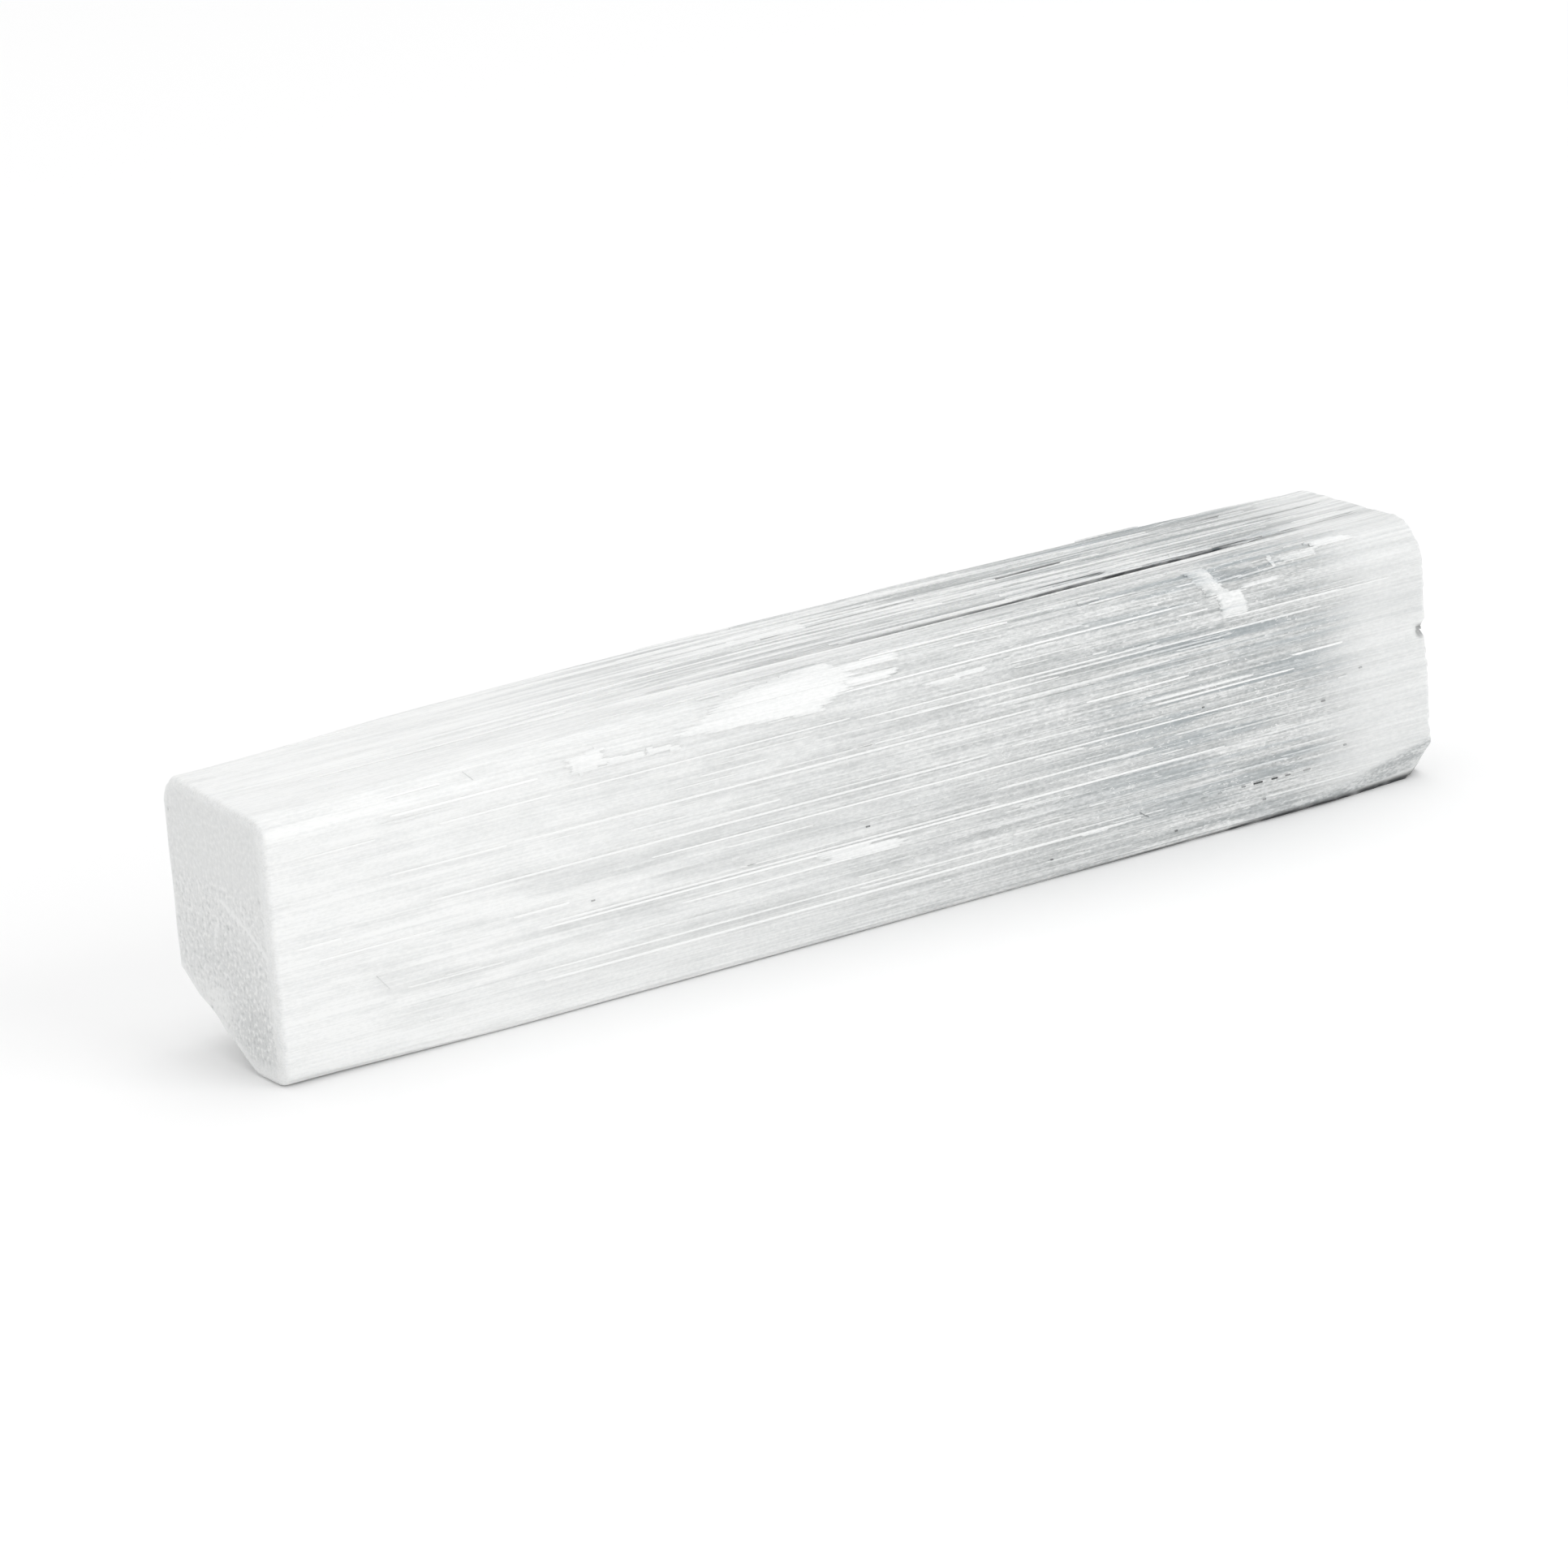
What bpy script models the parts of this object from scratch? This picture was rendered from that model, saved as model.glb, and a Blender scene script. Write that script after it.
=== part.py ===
"""A selenite (satin spar) wand: one natural bar of fibrous gypsum, sawn off square at one end and
broken off roughly at the other. Metres, +Z up.

The wand lies along X. The sawn end is at -X, the rough end at +X, and the front face looks to -Y.
The origin is the middle of the flat underside that the wand rests on.
"""

import math
import random

import bmesh
import bpy
from mathutils import Matrix, Vector

MM = 0.001

# The bar: its length, and its width, height and the fall of its top from back to front, each at
# the sawn end, in the middle and at the rough end.
LENGTH = 100 * MM
WIDTH = (14.8 * MM, 15.9 * MM, 16.3 * MM)
HEIGHT = (19.9 * MM, 20.2 * MM, 20.2 * MM)
TOP_FALL = (0.6 * MM, 0.1 * MM, 0.0)
WIDEST = max(WIDTH)

# Radii of the four long edges, at the same three places.
FRONT_TOP_RADIUS = (1.9 * MM, 3.4 * MM, 3.2 * MM)
BACK_TOP_RADIUS = (2.3 * MM, 0.9 * MM, 2.4 * MM)
FRONT_BOTTOM_RADIUS = (1.3 * MM, 0.4 * MM, 0.6 * MM)
BACK_BOTTOM_RADIUS = (1.2 * MM, 0.8 * MM, 1.4 * MM)
ARC_STEPS = 9
EDGE_CHANGE = 0.2

# The edges of both ends are worn to a small round.
END_WEAR_RADIUS = 0.45 * MM
END_WEAR_STEPS = 4
RINGS_BETWEEN_ENDS = 34

# Fibres show as long low ridges, cut in from the outline by up to this much.
FIBRE_DEPTH = 0.16 * MM
FIBRE_RUN = 18 * MM
FIBRE_SEED = 11

# A split between two bundles of fibres runs along the top, deepest towards the rough end.
CREASE_OFFSET = (6.6 * MM, 4.75 * MM, 5.3 * MM)
CREASE_HALF_WIDTH = 0.2 * MM
CREASE_DEPTH = 0.7 * MM
CREASE_FROM, CREASE_FULL, CREASE_TO, CREASE_GONE = 20 * MM, 58 * MM, 88 * MM, 95 * MM

# Breaks. Each one's surface passes through three points, as (along, in from the front, up), and is
# stepped along the fibres.
SAWN_END_BREAK = (
    (0, 15.0 * MM, 5.9 * MM),
    (0, 4.0 * MM, 0.1 * MM),
    (26 * MM, 15.6 * MM, 0),
)
ROUGH_END_BREAK = (
    (LENGTH, 0, 3.1 * MM),
    (LENGTH, 1.3 * MM, 0),
    (88 * MM, 0, 0.3 * MM),
)
ROUGH_END_CORNER_BREAK = (
    (LENGTH, 0.3 * MM, 2.6 * MM),
    (LENGTH, 2.8 * MM, 0),
    (97.3 * MM, 0.6 * MM, 0),
)
BREAK_SIZE = 64 * MM
BREAK_THICKNESS = 12 * MM
BREAK_ROUGHNESS = 0.2 * MM
BREAK_ROWS = 16

# A sliver has flaked off the front shoulder. Its hollow faces up and forward, and is deepest at
# the end nearer the saw cut.
FLAKE_MIDDLE = (84.2 * MM, 1.26 * MM, 19.4 * MM)
FLAKE_SIZE = (6.8 * MM, 2.3 * MM, 1.0 * MM)
FLAKE_DEPTH = 0.2 * MM
FLAKE_TURNS = (39, -3.3)

# A small notch in the front edge of the rough end.
NOTCH_MIDDLE = (100.1 * MM, 0.2 * MM, 11.3 * MM)
NOTCH_SIZE = (1.5 * MM, 2.0 * MM, 0.8 * MM)
NOTCH_TURNS = (0, 12)

STONE_COLOUR = (0.88, 0.89, 0.885, 1.0)
STONE_ROUGHNESS = 0.42
STONE_IOR = 1.53


def clear_scene():
    for obj in list(bpy.data.objects):
        bpy.data.objects.remove(obj, do_unlink=True)


def blend(ends, share):
    """A value that changes evenly from the first to the second."""
    return ends[0] + (ends[1] - ends[0]) * share


def along_bar(sizes, share, change=0.5):
    """A size given at the sawn end, in the middle and at the rough end, at a share of the length.
    Its change takes up this share of the length at each end."""
    if share < 0.5:
        return blend(sizes[:2], smooth_step(0.0, change, share))
    return blend(sizes[1:], smooth_step(1 - change, 1.0, share))


def smooth_step(low, high, value):
    share = min(max((value - low) / (high - low), 0.0), 1.0)
    return share * share * (3 - 2 * share)


def even(start, end, count):
    """Values from start to end, both included."""
    return [start + (end - start) * i / (count - 1) for i in range(count)]


def arc(centre, radius, start_degrees):
    """A quarter round in the (y, z) plane, turning anticlockwise from its start."""
    points = []
    for i in range(ARC_STEPS + 1):
        angle = math.radians(start_degrees + 90 * i / ARC_STEPS)
        points.append((centre[0] + radius * math.cos(angle), centre[1] + radius * math.sin(angle)))
    return points


def crease_depth(along):
    opening = smooth_step(CREASE_FROM, CREASE_FULL, along)
    closing = 1 - smooth_step(CREASE_TO, CREASE_GONE, along)
    return CREASE_DEPTH * opening * closing


def top_points(start, end, heights, along):
    """The top side from back to front, with the crease's lip, floor and lip among its points."""
    crease = along_bar(CREASE_OFFSET, along / LENGTH)
    back_lip = crease + CREASE_HALF_WIDTH
    front_lip = crease - CREASE_HALF_WIDTH
    across = even(start, back_lip, 9)[1:] + [crease] + even(front_lip, end, 3)[:-1]
    points = []
    for y in across:
        depth = crease_depth(along) if y == crease else 0.0
        points.append((y, blend(heights, (start - y) / (start - end)) - depth))
    return points


def section(along, inset=0.0):
    """The outline across the bar at a distance from the sawn end, as (in from the front, up),
    anticlockwise as seen from +X, from the front end of the underside."""
    share = along / LENGTH
    front = inset
    back = along_bar(WIDTH, share) - inset
    floor = inset
    back_height = along_bar(HEIGHT, share) - inset
    front_height = back_height - along_bar(TOP_FALL, share)
    front_bottom = along_bar(FRONT_BOTTOM_RADIUS, share, EDGE_CHANGE)
    back_bottom = along_bar(BACK_BOTTOM_RADIUS, share, EDGE_CHANGE)
    back_top = along_bar(BACK_TOP_RADIUS, share, EDGE_CHANGE)
    front_top = along_bar(FRONT_TOP_RADIUS, share)

    points = [(y, floor) for y in even(front + front_bottom, back - back_bottom, 6)[:-1]]
    points += arc((back - back_bottom, floor + back_bottom), back_bottom, -90)
    points += [(back, z) for z in even(floor + back_bottom, back_height - back_top, 12)[1:-1]]
    points += arc((back - back_top, back_height - back_top), back_top, 0)
    heights = (back_height, front_height)
    points += top_points(back - back_top, front + front_top, heights, along)
    points += arc((front + front_top, front_height - front_top), front_top, 90)
    points += [(front, z) for z in even(front_height - front_top, floor + front_bottom, 15)[1:-1]]
    points += arc((front + front_bottom, floor + front_bottom), front_bottom, 180)[:-1]
    return points


def fibre_heights(count):
    """One seeded run of heights for each line of points along the bar, at every FIBRE_RUN."""
    chance = random.Random(FIBRE_SEED)
    knots = int(LENGTH / FIBRE_RUN) + 2
    runs = []
    for _ in range(count):
        level = chance.random()
        runs.append([0.65 * level + 0.35 * chance.random() for _ in range(knots)])
    return runs


def fibre_cut(run, along):
    """How far one line of points is cut in at a distance along the bar."""
    place = along / FIBRE_RUN
    knot = int(place)
    return FIBRE_DEPTH * blend((run[knot], run[knot + 1]), smooth_step(0, 1, place - knot))


def place_ring(verts, along, inset, runs):
    """Moves a ring of vertices to the bar's outline, with its fibres cut in except underneath."""
    outline = section(along, inset)
    middle = Vector((0, WIDEST / 2, HEIGHT[0] / 2))
    for vert, (y, z), run in zip(verts, outline, runs):
        point = Vector((0, y, z))
        if z > inset:
            point += (middle - point).normalized() * fibre_cut(run, along)
            point.z = max(point.z, inset)
        vert.co = (along - LENGTH / 2, point.y - WIDEST / 2, point.z)


def stations():
    """(distance from the sawn end, inset) for each ring of the bar."""
    near = []
    for i in range(END_WEAR_STEPS + 1):
        angle = math.radians(90 * i / END_WEAR_STEPS)
        inset = END_WEAR_RADIUS * (1 - math.sin(angle))
        near.append((END_WEAR_RADIUS * (1 - math.cos(angle)), inset))
    far = [(LENGTH - along, inset) for along, inset in reversed(near)]
    between = even(near[-1][0], far[0][0], RINGS_BETWEEN_ENDS + 2)[1:-1]
    return near + [(along, 0.0) for along in between] + far


def extruded_from(vert, made):
    """The new vertex that the extrusion joined to this one."""
    return next(other for other in (edge.other_vert(vert) for edge in vert.link_edges) if other in made)


def bar_mesh():
    """The whole bar: the outline at the sawn end, extruded ring by ring to the rough end."""
    rings = stations()
    bm = bmesh.new()
    ring = [bm.verts.new((0, y, z)) for y, z in section(*rings[0])]
    face = bm.faces.new(ring)
    runs = fibre_heights(len(ring))
    place_ring(ring, *rings[0], runs)
    for number, (along, inset) in enumerate(rings[1:]):
        made = bmesh.ops.extrude_face_region(bm, geom=[face])["geom"]
        if number > 0:
            bmesh.ops.delete(bm, geom=[face], context="FACES_ONLY")
        face = next(item for item in made if isinstance(item, bmesh.types.BMFace))
        ring = [extruded_from(vert, made) for vert in ring]
        place_ring(ring, along, inset, runs)
    bmesh.ops.recalc_face_normals(bm, faces=bm.faces)
    bmesh.ops.triangulate(bm, faces=[f for f in bm.faces if len(f.verts) == 4])
    mesh = bpy.data.meshes.new("selenite_wand")
    bm.to_mesh(mesh)
    bm.free()
    return mesh


def add_object(name, mesh):
    obj = bpy.data.objects.new(name, mesh)
    bpy.context.scene.collection.objects.link(obj)
    return obj


def in_bar(along, inward, up):
    """A point of the bar, from its distances along, in from the front and up."""
    return Vector((along - LENGTH / 2, inward - WIDEST / 2, up))


def add_break(bar, name, corners, seed):
    """Breaks a corner off the bar, along a rough surface through three points."""
    first, second, third = (in_bar(*corner) for corner in corners)
    outward = (second - first).cross(third - first).normalized()
    if outward.dot(first - in_bar(LENGTH / 2, WIDEST / 2, HEIGHT[1] / 2)) < 0:
        outward.negate()
    lengthwise = (Vector((1, 0, 0)) - outward * outward.x).normalized()
    across = outward.cross(lengthwise)
    turn = Matrix((lengthwise, across, outward)).transposed().to_4x4()

    chance = random.Random(seed)
    bm = bmesh.new()
    bmesh.ops.create_grid(bm, x_segments=BREAK_ROWS, y_segments=3 * BREAK_ROWS, size=BREAK_SIZE / 2)
    rows = {}
    for vert in bm.verts:
        row = rows.setdefault(round(vert.co.y / MM, 2), chance.uniform(-1, 1))
        vert.co.z = BREAK_ROUGHNESS * (0.6 * row + 0.4 * chance.uniform(-1, 1))
    made = bmesh.ops.extrude_face_region(bm, geom=bm.faces[:])["geom"]
    outer = [item for item in made if isinstance(item, bmesh.types.BMVert)]
    bmesh.ops.translate(bm, vec=(0, 0, BREAK_THICKNESS), verts=outer)
    cut_with(bar, name, bm, Matrix.Translation((first + second + third) / 3) @ turn)


def add_nick(bar, name, middle, size, turns):
    """Cuts a block out of the bar, turned by degrees about the bar's length, then its width."""
    bm = bmesh.new()
    bmesh.ops.create_cube(bm, size=1)
    bmesh.ops.scale(bm, vec=size, verts=bm.verts)
    about_length = Matrix.Rotation(math.radians(turns[0]), 4, "X")
    about_width = Matrix.Rotation(math.radians(turns[1]), 4, "Y")
    cut_with(bar, name, bm, Matrix.Translation(middle) @ about_length @ about_width)


def cut_with(bar, name, bm, place):
    """Makes the mesh a hidden cutter at this place, and cuts it out of the bar."""
    bmesh.ops.recalc_face_normals(bm, faces=bm.faces)
    mesh = bpy.data.meshes.new(name)
    bm.to_mesh(mesh)
    bm.free()
    cutter = add_object(name, mesh)
    cutter.matrix_world = place
    cutter.hide_render = True
    cutter.display_type = "WIRE"
    cut = bar.modifiers.new(name, "BOOLEAN")
    cut.operation = "DIFFERENCE"
    cut.solver = "EXACT"
    cut.object = cutter


def flake_shoulder(bar):
    turn = math.radians(FLAKE_TURNS[0])
    outward = Vector((0, -math.sin(turn), math.cos(turn)))
    lift = FLAKE_SIZE[2] / 2 - FLAKE_DEPTH
    middle = in_bar(*FLAKE_MIDDLE) + outward * lift
    add_nick(bar, "shoulder_flake", middle, FLAKE_SIZE, FLAKE_TURNS)


def stone_material():
    material = bpy.data.materials.new("selenite")
    material.use_nodes = True
    shader = material.node_tree.nodes["Principled BSDF"]
    shader.inputs["Base Color"].default_value = STONE_COLOUR
    shader.inputs["Roughness"].default_value = STONE_ROUGHNESS
    shader.inputs["Metallic"].default_value = 0.0
    shader.inputs["IOR"].default_value = STONE_IOR
    return material


def main():
    clear_scene()
    bar = add_object("selenite_wand", bar_mesh())
    bar.data.materials.append(stone_material())
    bar.data.shade_smooth()
    add_break(bar, "sawn_end_break", SAWN_END_BREAK, 3)
    add_break(bar, "rough_end_break", ROUGH_END_BREAK, 5)
    add_break(bar, "rough_end_corner_break", ROUGH_END_CORNER_BREAK, 8)
    flake_shoulder(bar)
    add_nick(bar, "rough_end_notch", in_bar(*NOTCH_MIDDLE), NOTCH_SIZE, NOTCH_TURNS)


main()
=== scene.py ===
"""The looks of a selenite wand: one bar of satin spar, a silky white gypsum that grew as fibres.

The wand lies along X, with its sawn end at -X, its rough end at +X and its front face to -Y.
"Along" is measured from the sawn end, and "around" from the lower front edge: up the front face,
over the top and down the back. Lengths are in metres, or in millimetres where a comment says so.
"""

import math

import bmesh
import bpy
import numpy as np
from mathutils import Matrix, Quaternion, Vector
from mathutils.bvhtree import BVHTree


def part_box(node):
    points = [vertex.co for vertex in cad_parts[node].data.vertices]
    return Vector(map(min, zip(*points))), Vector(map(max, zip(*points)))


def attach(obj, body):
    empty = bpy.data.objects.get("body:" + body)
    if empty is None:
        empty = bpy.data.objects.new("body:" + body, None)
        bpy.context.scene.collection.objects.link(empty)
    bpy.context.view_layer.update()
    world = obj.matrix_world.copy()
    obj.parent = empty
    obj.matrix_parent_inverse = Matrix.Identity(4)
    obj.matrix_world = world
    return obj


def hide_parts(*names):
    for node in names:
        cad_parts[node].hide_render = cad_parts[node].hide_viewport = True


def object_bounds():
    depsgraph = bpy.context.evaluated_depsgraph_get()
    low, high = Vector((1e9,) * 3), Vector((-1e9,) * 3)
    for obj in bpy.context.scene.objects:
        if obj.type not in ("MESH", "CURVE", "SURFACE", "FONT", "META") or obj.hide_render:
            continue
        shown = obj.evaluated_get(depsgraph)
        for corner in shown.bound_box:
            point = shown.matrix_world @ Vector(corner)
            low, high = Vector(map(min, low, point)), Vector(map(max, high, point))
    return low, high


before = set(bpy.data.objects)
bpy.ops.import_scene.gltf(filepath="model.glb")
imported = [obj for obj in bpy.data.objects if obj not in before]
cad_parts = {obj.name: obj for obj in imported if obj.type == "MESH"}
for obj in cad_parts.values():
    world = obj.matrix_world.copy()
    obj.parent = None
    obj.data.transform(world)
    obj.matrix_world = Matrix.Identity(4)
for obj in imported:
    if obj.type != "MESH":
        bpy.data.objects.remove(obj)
cad_low, cad_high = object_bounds()


# --------------------------------------
# The bar: one length of gypsum whose fine fibres all run along it. A saw cut it off at one end,
# and it broke off at the other. A box whose grid lines follow the fibres is pressed onto the
# solid from its middle outwards, and the fibres, ledges and splits are then worked into it.

MM = 0.001
LINES_UP = (10, 14)  # spaces between fibre lines on the front and on the back, as two factors
LINES_ACROSS = (10, 11)  # the same on the top and on the underside
RINGS = (10, 13)  # spaces between the rings along the bar
up_lines = math.prod(LINES_UP)
across_lines = math.prod(LINES_ACROSS)
ring_spaces = math.prod(RINGS)
round_lines = 2 * (up_lines + across_lines)

bar_low, bar_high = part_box("selenite_wand")
bar_size = bar_high - bar_low
bar_middle = (bar_low + bar_high) / 2
half_height = bar_size.z / 2


def deselect_all():
    for obj in bpy.context.selected_objects:
        obj.select_set(False)


def split_edges_along(axis, parts):
    """Cuts each edge of the box being edited that runs along this axis into equal parts, once
    for each count in parts."""
    mesh = bpy.context.edit_object.data
    for count in parts:
        work = bmesh.from_edit_mesh(mesh)
        for edge in work.edges:
            run = edge.verts[1].co - edge.verts[0].co
            edge.select = abs(run[axis]) > run.length / 2
        work.select_flush_mode()
        bmesh.update_edit_mesh(mesh)
        bpy.ops.mesh.subdivide(number_cuts=count - 1)


deselect_all()
bpy.ops.mesh.primitive_cube_add(size=1)
bar = bpy.context.active_object
bar.name = "satin_spar_bar"
bpy.ops.object.mode_set(mode="EDIT")
bpy.context.tool_settings.mesh_select_mode = (False, True, False)
split_edges_along(2, LINES_UP)
split_edges_along(1, LINES_ACROSS)
split_edges_along(0, RINGS)
bpy.ops.object.mode_set(mode="OBJECT")


def smooth_step(low, high, value):
    """A smooth rise from 0 to 1 as the value goes from low to high."""
    share = np.clip((value - low) / (high - low), 0, 1)
    return share * share * (3 - 2 * share)


def rise_and_fall(rise_from, rise_to, fall_from, fall_to, value):
    """A smooth rise from 0 to 1 and then a smooth fall back to 0."""
    return smooth_step(rise_from, rise_to, value) * (1 - smooth_step(fall_from, fall_to, value))


def line_directions():
    """The way that each fibre line lies from the bar's middle line, as (across, up)."""
    corners = np.cumsum([0, up_lines, across_lines, up_lines, across_lines])
    lines = np.arange(round_lines)
    across = np.interp(lines, corners, [-1, -1, 1, 1, -1]) * bar_size.y
    up = np.interp(lines, corners, [-1, 1, 1, -1, -1]) * bar_size.z
    ways = np.stack([across, up], axis=-1)
    return ways / np.linalg.norm(ways, axis=1, keepdims=True)


# The rings stand evenly along the bar, and close together where its ends are worn round.
END_ROUND = 0.45 * MM
END_ROUND_RINGS = 5
end_rings = END_ROUND * (1 - np.cos(np.linspace(0, math.pi / 2, END_ROUND_RINGS + 1)))
even_rings = np.linspace(END_ROUND, bar_size.x - END_ROUND, ring_spaces - 2 * END_ROUND_RINGS + 1)
ring_along = np.concatenate([end_rings, even_rings[1:-1], bar_size.x - end_rings[::-1]])

# The split along the top lies this far back from the front face at the sawn end, half-way along
# and at the rough end. The lines near it bend so that one of them follows it, but not those on
# the top's two edges.
FRONT = -8.15 * MM
SPLIT_BACK = (6.6 * MM, 4.75 * MM, 5.3 * MM)
HALF_WAY, WHOLE_WAY = 50 * MM, 100 * MM
LINE_BEND_REACH = 3 * MM
UNBENT_EDGE = 1.5 * MM
split_back = SPLIT_BACK[0] + (SPLIT_BACK[1] - SPLIT_BACK[0]) * smooth_step(0, HALF_WAY, ring_along)
split_back += (SPLIT_BACK[2] - SPLIT_BACK[1]) * smooth_step(HALF_WAY, WHOLE_WAY, ring_along)
directions = np.repeat(line_directions()[None], ring_spaces + 1, axis=0)
top_lines = np.arange(up_lines, up_lines + across_lines + 1)
line_slopes = directions[0, top_lines, 0] / directions[0, top_lines, 1]
line_back = line_slopes * half_height + bar_middle.y - FRONT
nearest_line = int(np.argmin(np.abs(line_back - split_back[len(split_back) // 2])))
nearest_back = line_back[nearest_line]
bend = np.exp(-(((line_back - nearest_back) / LINE_BEND_REACH) ** 2))
bend *= smooth_step(0, UNBENT_EDGE, line_back)
bend *= smooth_step(0, UNBENT_EDGE, line_back[-1] - line_back)
bent_back = line_back + bend * (split_back - nearest_back)[:, None]
directions[:, top_lines, 0] = (bent_back + FRONT - bar_middle.y) / half_height
directions[:, top_lines, 1] = 1
directions /= np.linalg.norm(directions, axis=2, keepdims=True)

# Press: a ray from the middle line finds the solid's surface for each ring and line.
RAY_REACH = 40 * MM
INSIDE_THE_END = 0.004 * MM
solid = BVHTree.FromObject(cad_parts["selenite_wand"], bpy.context.evaluated_depsgraph_get())
reach = np.zeros((ring_spaces + 1, round_lines))
for ring, along in enumerate(ring_along):
    inside = min(max(along, INSIDE_THE_END), bar_size.x - INSIDE_THE_END)
    start = Vector((bar_low.x + inside, bar_middle.y, bar_middle.z))
    for line, (across, up) in enumerate(directions[ring]):
        *_, distance = solid.ray_cast(start, Vector((0, across, up)), RAY_REACH)
        reach[ring, line] = distance

# The split's line and its neighbours are pressed again as a steep narrow gap between two banks.
# The profile is how deep each line is, from the front. The last one opens too where it gapes.
SPLIT_PROFILE = (0.0, 0.0, 1.0, 0.9, 0.0)
SPLIT_DEEPER = 1.8
GAPES_ALONG = (62 * MM, 76 * MM, 84 * MM, 89 * MM)
GAPE_DEPTH = 0.8
split_line = up_lines + nearest_line
split_lines = split_line + np.arange(-2, 3)
split_banks = split_line + np.array([-3, 3])
unsplit = np.array([np.interp(split_lines, split_banks, row) for row in reach[:, split_banks]])
split_depth = SPLIT_DEEPER * np.clip((unsplit - reach[:, split_lines]).max(axis=1), 0, None)
split_gapes = rise_and_fall(*GAPES_ALONG, ring_along)
split_profile = np.tile(SPLIT_PROFILE, (len(ring_along), 1))
split_profile[:, -1] = GAPE_DEPTH * split_gapes
reach[:, split_lines] = unsplit - split_depth[:, None] * split_profile

# The nick in the front edge of the rough end is bridged here, and cut again below as a sharp V.
NICK_UP = 11.6 * MM
NICK_BRIDGED = 1.3 * MM
NICK_LENGTH = 1.2 * MM
front_side = slice(0, up_lines)
top_side = slice(up_lines, up_lines + across_lines)
back_side = slice(top_side.stop, top_side.stop + up_lines)
front_up = reach[-1, front_side] * directions[-1, front_side, 1] + bar_middle.z
bridged = np.flatnonzero(np.abs(front_up - NICK_UP) < NICK_BRIDGED)
banks = (bridged[0] - 1, bridged[-1] + 1)
for ring in np.flatnonzero(ring_along > bar_size.x - NICK_LENGTH):
    banks_across = reach[ring, banks] * directions[ring, banks, 0]
    reach[ring, bridged] = np.interp(bridged, banks, banks_across) / directions[ring, bridged, 0]
skin = reach[:, :, None] * directions

# How far round the bar each line lies. It is set at four places: half-way up the front face, at
# two distances back on the top, and half-way down the back face. So a place that keeps its
# distance round the bar runs straight along it, as the fibres do. Between the four it follows
# the surface, but not down the split's steep sides.
SET_UP = 10 * MM
SET_BACK = (6 * MM, 12 * MM)
SET_AROUND = (10 * MM, 24.74 * MM, 30.74 * MM, 44.6 * MM)
over_split = skin.copy()
over_split[:, split_lines] = unsplit[:, :, None] * directions[:, split_lines]
steps = np.linalg.norm(np.diff(over_split, axis=1), axis=2)
walked = np.concatenate([np.zeros((ring_spaces + 1, 1)), np.cumsum(steps, axis=1)], axis=1)
around = np.empty_like(walked)
for ring, way in enumerate(walked):
    up = skin[ring, :, 1] + bar_middle.z
    back = skin[ring, :, 0] + bar_middle.y - FRONT
    at_set = np.concatenate([
        [np.interp(SET_UP, up[front_side], way[front_side])],
        np.interp(SET_BACK, back[top_side], way[top_side]),
        [np.interp(-SET_UP, -up[back_side], way[back_side])],
    ])
    around[ring] = np.interp(way, at_set, SET_AROUND)
    around[ring] += np.minimum(way - at_set[0], 0) + np.maximum(way - at_set[-1], 0)

# The way out of the surface at each ring and line, as (across, up).
round_step = np.roll(skin, -1, axis=1) - np.roll(skin, 1, axis=1)
outward = np.stack([-round_step[:, :, 1], round_step[:, :, 0]], axis=-1)
outward /= np.linalg.norm(outward, axis=2, keepdims=True)

# The fibres: each layer as how many lines wide they are, how far they run and how deep the
# furrows between them are. At the sawn end the furrows have only a share of this depth.
FIBRE_LAYERS = (
    (13.0, 44 * MM, 0.030 * MM),
    (3.6, 22 * MM, 0.022 * MM),
    (1.2, 8 * MM, 0.016 * MM),
)
SHALLOW_SHARE = 0.4
DEEP_BY = 70 * MM
FIBRE_SEED = 21
fibre_chance = np.random.default_rng(FIBRE_SEED)


def fibre_heights(width, run):
    """Seeded heights, about -1 to 1, for each ring and line. They change quickly from line to
    line and slowly along the bar."""
    knots = int(bar_size.x / run) + 3
    soft = np.exp(-2 * (math.pi * np.fft.rfftfreq(round_lines) * width / 2) ** 2)
    rough = fibre_chance.standard_normal((knots, round_lines))
    rough = np.fft.irfft(np.fft.rfft(rough, axis=1) * soft, n=round_lines, axis=1)
    rough /= 2 * rough.std()
    place = ring_along / run + fibre_chance.uniform(0, 1)
    knot = place.astype(int)
    share = smooth_step(0, 1, place - knot)[:, None]
    return rough[knot] * (1 - share) + rough[knot + 1] * share


furrows = np.zeros_like(reach)
for width, run, depth in FIBRE_LAYERS:
    furrows += depth / 2 * (1 - fibre_heights(width, run))
towards_rough = smooth_step(0, DEEP_BY, ring_along)[:, None]
furrows *= towards_rough * (1 - SHALLOW_SHARE) + SHALLOW_SHARE

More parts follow.
